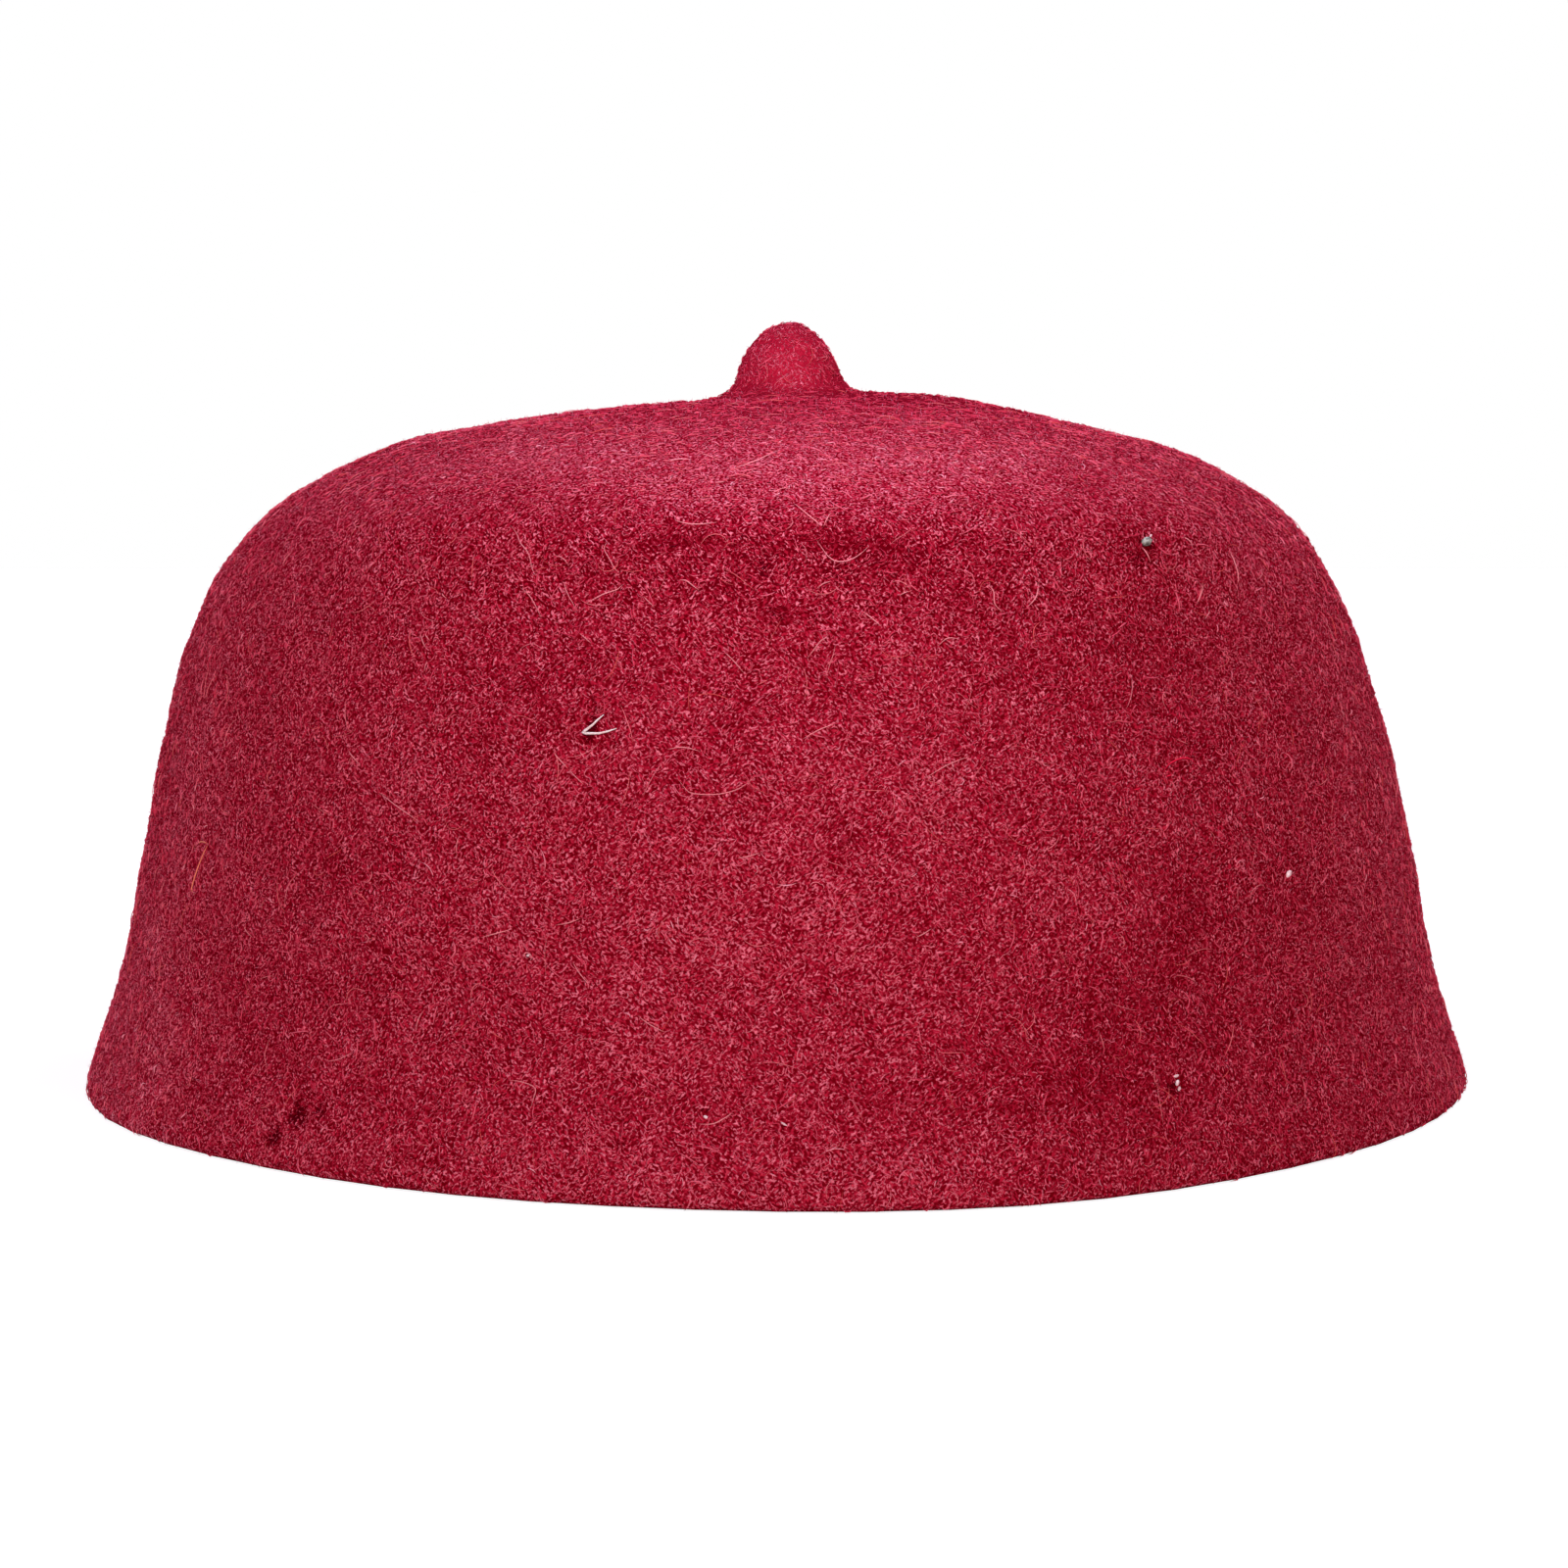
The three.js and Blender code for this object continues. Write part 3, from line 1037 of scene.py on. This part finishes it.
def walk_hair(place, heading, length):
    """Points of a hair that starts at a place and keeps to the felt."""
    spots = []
    turn = chance.normal(0, HAIR_BEND)
    for step in range(HAIR_STEPS):
        place, normal, _, _ = skin.find_nearest(place)
        arch = math.sin(math.pi * step / (HAIR_STEPS - 1))
        spots.append(place + normal * HAIR_LIFT * arch)
        turn += chance.normal(0, HAIR_BEND / 2)
        heading = (Quaternion(normal, turn) @ (heading - normal * heading.dot(normal))).normalized()
        place = place + heading * length / (HAIR_STEPS - 1)
    return spots


hair_places, hair_normals = scatter(HAIR_COUNT, outside)
hair_lines = [
    walk_hair(Vector(place), Vector(chance.normal(0, 1, 3)), chance.uniform(*HAIR_LENGTH))
    for place in hair_places]
hair_radii = HAIR_RADIUS * chance.uniform(*HAIR_THICKNESS, HAIR_COUNT)
lay_fibres(
    "stray_hairs", np.array(hair_lines), hair_normals, hair_radii, chance.uniform(0, 1, HAIR_COUNT),
    fibre_finish("pale_hair", HAIR_SHADES))

# %% Pixels of the hairs that show in the photograph
SEEN_HAIRS = [
    [(830, 546), (844, 567), (852, 573), (864, 573), (876, 567), (889, 555)],
    [(808, 512), (828, 530), (840, 538)],
    [(840, 538), (844, 531), (848, 523)],
    [(520, 535), (528, 545), (532, 555), (540, 565), (544, 582), (548, 589)],
    [(530, 599), (540, 607), (547, 618), (553, 632)],
    [(620, 552), (617, 560), (622, 570), (628, 581), (633, 585)],
    [(688, 531), (700, 535), (712, 536), (733, 533)],
    [(692, 592), (700, 593), (707, 598), (714, 603)],
    [(564, 566), (576, 571), (581, 578)],
    [(597, 616), (608, 611), (618, 606), (630, 602), (636, 596)],
    [(656, 608), (668, 620)],
    [(484, 628), (494, 636)],
    [(429, 646), (433, 656), (435, 662)],
    [(434, 646), (439, 654)],
    [(451, 605), (456, 611)],
    [(576, 595), (579, 604), (588, 622)],
    [(738, 664), (748, 674), (760, 688)],
    [(591, 646), (604, 657)],
    [(823, 673), (830, 664), (838, 654), (845, 650)],
    [(833, 601), (840, 596), (849, 593)],
    [(1009, 597), (1013, 604), (1014, 616), (1024, 626)],
    [(1060, 594), (1056, 610), (1048, 620)],
    [(917, 608), (928, 603)],
    [(956, 660), (966, 652), (978, 652)],
    [(880, 624), (890, 632), (900, 640)],
    [(1165, 558), (1169, 566), (1174, 574)],
    [(1254, 560), (1258, 574), (1262, 588), (1263, 596)],
    [(1228, 596), (1224, 606), (1220, 618)],
    [(1208, 548), (1217, 558)],
    [(1229, 632), (1234, 622)],
    [(749, 478), (772, 472), (795, 459)],
    [(689, 791), (698, 803), (704, 809), (722, 811), (737, 810), (756, 804), (777, 786)],
    [(941, 796), (966, 781), (991, 771)],
    [(818, 755), (836, 745), (854, 738)],
    [(564, 767), (572, 776), (580, 785)],
    [(752, 876), (764, 874), (776, 870)],
    [(566, 944), (580, 942), (593, 937)],
    [(680, 765), (697, 763), (716, 767)],
    [(934, 957), (942, 953), (951, 947)],
    [(711, 1147), (728, 1147), (740, 1141), (748, 1135)],
    [(534, 979), (536, 973), (541, 973), (543, 978), (539, 982)],
    [(385, 807), (407, 823), (430, 840)],
    [(355, 765), (361, 772), (367, 780)],
    [(580, 785), (588, 793), (596, 801)],
    [(517, 1102), (532, 1104), (547, 1111), (545, 1121), (541, 1132)],
    [(490, 957), (506, 953), (523, 948)],
    [(584, 981), (592, 993), (602, 1006)],
    [(433, 1030), (428, 1041), (424, 1054)],
    [(650, 1036), (664, 1046), (680, 1054)],
    [(249, 945), (253, 950), (258, 957)],
    [(469, 852), (467, 862), (466, 873)],
]
ORANGE_HAIRS = [
    [(213, 860), (210, 868), (204, 885), (198, 904), (197, 909), (199, 913)],
    [(203, 861), (208, 859), (213, 861)],
]
RED_CURLS = [
    [(1186, 789), (1192, 780), (1201, 775), (1211, 774), (1221, 779)],
    [(1189, 793), (1196, 790)],
    [(1156, 806), (1164, 805)],
]
print(f"{len(SEEN_HAIRS)} pale hairs, {len(ORANGE_HAIRS)} orange and {len(RED_CURLS)} red")

# %% Hairs that show in the photograph
SEEN_RADIUS = 0.085 * MM
SEEN_SHADES = [
    (0.0, (0.820, 0.140, 0.170)),
    (1.0, (0.960, 0.290, 0.330)),
]
ORANGE_RADIUS = 0.11 * MM
ORANGE_SHADES = [
    (0.0, (0.950, 0.200, 0.100)),
    (1.0, (1.000, 0.330, 0.220)),
]
RED_RADIUS = 0.15 * MM
RED_SHADES = [
    (0.0, (0.720, 0.004, 0.030)),
    (1.0, (0.900, 0.020, 0.070)),
]
SEEN_STEPS = 17
CURVE_STEPS = 6
PALER_HALF = (0.6, 1)


def seen_hair(pixels):
    """Points of a hair that lies on the felt under the given pixels."""
    way = np.array(curve_through(pixels, CURVE_STEPS))
    shares = np.linspace(0, len(way) - 1, SEEN_STEPS)
    spots = []
    for step, share in enumerate(shares):
        pixel = [np.interp(share, np.arange(len(way)), way[:, axis]) for axis in (0, 1)]
        place, normal = felt_under(pixel)
        arch = math.sin(math.pi * step / (SEEN_STEPS - 1))
        spots.append(place + normal * HAIR_LIFT * arch)
    return spots


def lay_seen_hairs(name, pixel_rows, radius, finish):
    """One piece of hairs that are drawn through their pixels."""
    lines = np.array([seen_hair(row) for row in pixel_rows])
    normals = np.array([felt_under(row[0])[1] for row in pixel_rows])
    count = len(pixel_rows)
    lay_fibres(name, lines, normals, np.full(count, radius), chance.uniform(*PALER_HALF, count), finish)


lay_seen_hairs("seen_hairs", SEEN_HAIRS, SEEN_RADIUS, fibre_finish("seen_hair", SEEN_SHADES))
lay_seen_hairs("orange_hair", ORANGE_HAIRS, ORANGE_RADIUS, fibre_finish("orange_hair", ORANGE_SHADES))
lay_seen_hairs("red_curl", RED_CURLS, RED_RADIUS, fibre_finish("red_wool", RED_SHADES))

# %% [markdown]
# ## Chaff and specks
# A forked splinter of chaff is caught in the front of the felt, a grey grain sits on the right shoulder,
# and a few pale specks lie about. The splinter's two arms are small rings extruded along their way and
# tapered. The grains start as small spheres that are drawn long, tilted and roughened, so that none is a
# ball.

# %% Splinter of chaff
SPLINTER_ARMS = [
    [(595, 748), (598, 746), (606, 740), (611, 735), (617, 730)],
    [(595, 748), (599, 749), (612, 749), (621, 747), (630, 744)],
]
ARM_RADII = [0.10 * MM, 0.17 * MM, 0.14 * MM, 0.11 * MM, 0.04 * MM]
ARM_LIFT = 0.35 * MM
RING_SIDES = 6
SPECKLE_DETAIL = 2
SPECKLE_RANGE = (0.35, 0.65)
GRAIN_ROUGHNESS = 0.8
CHAFF_COLOURS = [(0.90, 0.66, 0.62, 1), (1.0, 0.88, 0.85, 1)]
FINE_SPECKLES = 2500


def draw_arm(way, radii):
    """A tapered arm along a way of points, extruded from a small filled ring."""
    bpy.ops.object.select_all(action="DESELECT")
    bpy.ops.mesh.primitive_circle_add(
        vertices=RING_SIDES, radius=radii[0], fill_type="NGON", location=way[0],
        rotation=(way[-1] - way[0]).to_track_quat("Z", "Y").to_euler())
    arm = bpy.context.object
    bpy.ops.object.transform_apply(location=True, rotation=True, scale=True)
    bpy.ops.object.mode_set(mode="EDIT")
    bpy.ops.mesh.select_all(action="SELECT")
    for number in range(1, len(radii)):
        bpy.ops.mesh.extrude_region_move(TRANSFORM_OT_translate={"value": way[number] - way[number - 1]})
        bpy.ops.transform.resize(
            value=[radii[number] / radii[number - 1]] * 3, center_override=way[number])
    bpy.ops.mesh.select_all(action="SELECT")
    bpy.ops.mesh.normals_make_consistent(inside=False)
    bpy.ops.object.mode_set(mode="OBJECT")
    bpy.ops.object.shade_smooth()
    return arm


def join_pieces(name, parts, finish):
    """Joins the parts into one piece that rides on the cap."""
    bpy.ops.object.select_all(action="DESELECT")
    for part in parts:
        part.select_set(True)
    bpy.context.view_layer.objects.active = parts[0]
    bpy.ops.object.join()
    piece = bpy.context.object
    piece.name = name
    piece.data.materials.append(finish)
    bpy.ops.object.origin_set(type="ORIGIN_CURSOR")
    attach(piece, "root")
    print(f"{name}: {len(piece.data.polygons)} faces")


def above_felt(pixel, lift):
    """The place at a small height above the felt that a pixel shows."""
    place, normal = felt_under(pixel)
    return place + normal * lift


def grain_finish(name, first, second, per_metre):
    """A matt finish that varies between two colours."""
    material, shader, nodes = new_finish(name)
    spot = nodes.node("ShaderNodeTexCoord", {}, {}, "Object")
    speckle = nodes.node(
        "ShaderNodeTexNoise", {}, {"Vector": spot, "Scale": per_metre, "Detail": SPECKLE_DETAIL})
    colour = speckle.spread(*SPECKLE_RANGE).between(first, second)
    material.node_tree.links.new(colour.socket, shader.inputs["Base Color"])
    shader.inputs["Roughness"].default_value = GRAIN_ROUGHNESS
    return material


arms = [draw_arm([above_felt(pixel, ARM_LIFT) for pixel in row], ARM_RADII) for row in SPLINTER_ARMS]
join_pieces("chaff_splinter", arms, grain_finish("chaff", *CHAFF_COLOURS, FINE_SPECKLES))

# %% Grains and specks
# Each row: pixel, length and width in millimetres, tilt in degrees
GRAINS = [
    ((1169, 553), 1.3, 1.1, 30),
]
SPECKS = [
    ((1314, 892), 1.1, 0.65, 55),
    ((1200, 1098), 0.65, 0.35, 20),
    ((1201, 1105), 0.75, 0.45, 75),
    ((1203, 1111), 0.55, 0.35, 70),
    ((720, 1140), 0.55, 0.35, -25),
    ((800, 1147), 0.8, 0.2, -30),
    ((1174, 547), 0.4, 0.3, 60),
    ((539, 975), 0.45, 0.3, 20),
]
GRAIN_UNEVEN = 0.12
GRAIN_LIFT = 0.15
GRAIN_SUBDIVISIONS = 3
GRIT_COLOURS = [(0.10, 0.095, 0.08, 1), (0.50, 0.48, 0.42, 1)]
GRIT_SPECKLES = 1800
SPECK_COLOURS = [(0.85, 0.50, 0.53, 1), (1.0, 0.80, 0.80, 1)]


def rough_grain(row, seed):
    """A small sphere on the felt, drawn long, tilted and made uneven."""
    pixel, length, width, tilt = row
    length *= MM
    width *= MM
    place = above_felt(pixel, width * GRAIN_LIFT)
    bpy.ops.object.select_all(action="DESELECT")
    bpy.ops.mesh.primitive_ico_sphere_add(
        subdivisions=GRAIN_SUBDIVISIONS, radius=width / 2, location=place)
    lump = bpy.context.object
    bpy.ops.object.transform_apply(location=True, rotation=True, scale=True)
    bpy.ops.object.mode_set(mode="EDIT")
    bpy.ops.transform.resize(value=(length / width, 1, 1), center_override=place)
    bpy.ops.transform.rotate(value=math.radians(tilt), orient_axis="Y", center_override=place)
    bpy.ops.transform.vertex_random(offset=width * GRAIN_UNEVEN, seed=seed)
    bpy.ops.object.mode_set(mode="OBJECT")
    bpy.ops.object.shade_smooth()
    return lump


grit = grain_finish("grit", *GRIT_COLOURS, GRIT_SPECKLES)
join_pieces("grey_grain", [rough_grain(row, seed) for seed, row in enumerate(GRAINS)], grit)
pale_speck = grain_finish("pale_speck", *SPECK_COLOURS, FINE_SPECKLES)
join_pieces("pale_specks", [rough_grain(row, seed) for seed, row in enumerate(SPECKS)], pale_speck)

# %% [markdown]
# ## Floor, light and background
# The cap stands on a plain pale floor in soft studio light. A wide soft light stands low in front, a weak
# one fills the left side, and two from behind keep the back readable. Two small lamps hang over the front
# of the crown and over the fold, where the photograph is brightest. The floor glows, so that it stays
# white. White floor and white sky are seen by the camera but throw no light on the felt, so the
# lamps alone shape it.

# %% Floor
FLOOR_SIDE = 12
PAPER_COLOURS = [(0.56, 0.56, 0.56, 1), (0.60, 0.60, 0.60, 1)]
PAPER_GLOW = 0.82
FLECKS_PER_METRE = 40

bpy.ops.object.select_all(action="DESELECT")
bpy.ops.mesh.primitive_plane_add(size=FLOOR_SIDE, location=(0, 0, 0))
floor = bpy.context.object
floor.name = "studio_floor"
paper, paper_shader, paper_nodes = new_finish("white_paper")
paper_place = paper_nodes.node("ShaderNodeTexCoord", {}, {}, "Object")
fleck = paper_nodes.node("ShaderNodeTexNoise", {}, {"Vector": paper_place, "Scale": FLECKS_PER_METRE})
paper_colour = fleck.between(*PAPER_COLOURS)
paper.node_tree.links.new(paper_colour.socket, paper_shader.inputs["Base Color"])
paper_shader.inputs["Roughness"].default_value = 1.0
paper_shader.inputs["Specular IOR Level"].default_value = 0.0
paper_shader.inputs["Emission Color"].default_value = (1, 1, 1, 1)
paper_shader.inputs["Emission Strength"].default_value = PAPER_GLOW
floor.data.materials.append(paper)
floor.visible_diffuse = False
floor.visible_glossy = False
print(f"floor {FLOOR_SIDE} m wide")

# %% Lights
# Each row: name, degrees of azimuth, elevation and spread, level, colour
SOFT_LIGHTS = [
    ("front_softbox", 0, 8, 30, 1.045, (1.0, 0.855, 0.875)),
    ("left_fill", -80, 10, 40, 0.08, (0.6, 0.9, 1.4)),
    ("left_back", -135, 12, 50, 0.6, (1.0, 0.9, 1.2)),
    ("right_back", 140, 12, 50, 0.85, (1.0, 0.9, 1.15)),
]
# Each row: name, place and size in millimetres, watts, colour
SMALL_LAMPS = [
    ("crown_light", (6, -80, 200), 60, 0.072, (1.0, 1.2, 1.7)),
    ("fold_light", (8, -115, 145), 35, 0.023, (1.0, 1.35, 1.4)),
]


def add_lamp(name, kind, energy, colour, **where):
    """A lamp of the given kind at a place or turn."""
    bpy.ops.object.light_add(type=kind, **where)
    lamp = bpy.context.object
    lamp.name = name
    lamp.data.energy = energy
    lamp.data.color = colour
    return lamp


for name, azimuth, elevation, spread, level, colour in SOFT_LIGHTS:
    turn = (math.pi / 2 - math.radians(elevation), 0, math.radians(azimuth))
    lamp = add_lamp(name, "SUN", level * math.pi, colour, location=(0, 0, 1), rotation=turn)
    lamp.data.angle = math.radians(spread)

for name, spot, size, watts, colour in SMALL_LAMPS:
    lamp = add_lamp(name, "AREA", watts, colour, location=Vector(spot) * MM)
    lamp.data.size = size * MM
    lamp.visible_camera = False

world = bpy.data.worlds.new("white_studio")
bpy.context.scene.world = world
world.use_nodes = True
world.node_tree.nodes["Background"].inputs["Color"].default_value = (1, 1, 1, 1)
world.node_tree.nodes["Background"].inputs["Strength"].default_value = 1.0
world.cycles_visibility.diffuse = False
world.cycles_visibility.glossy = False
bpy.context.scene.view_settings.view_transform = "Standard"
print(f"{len(SOFT_LIGHTS) + len(SMALL_LAMPS)} lights")
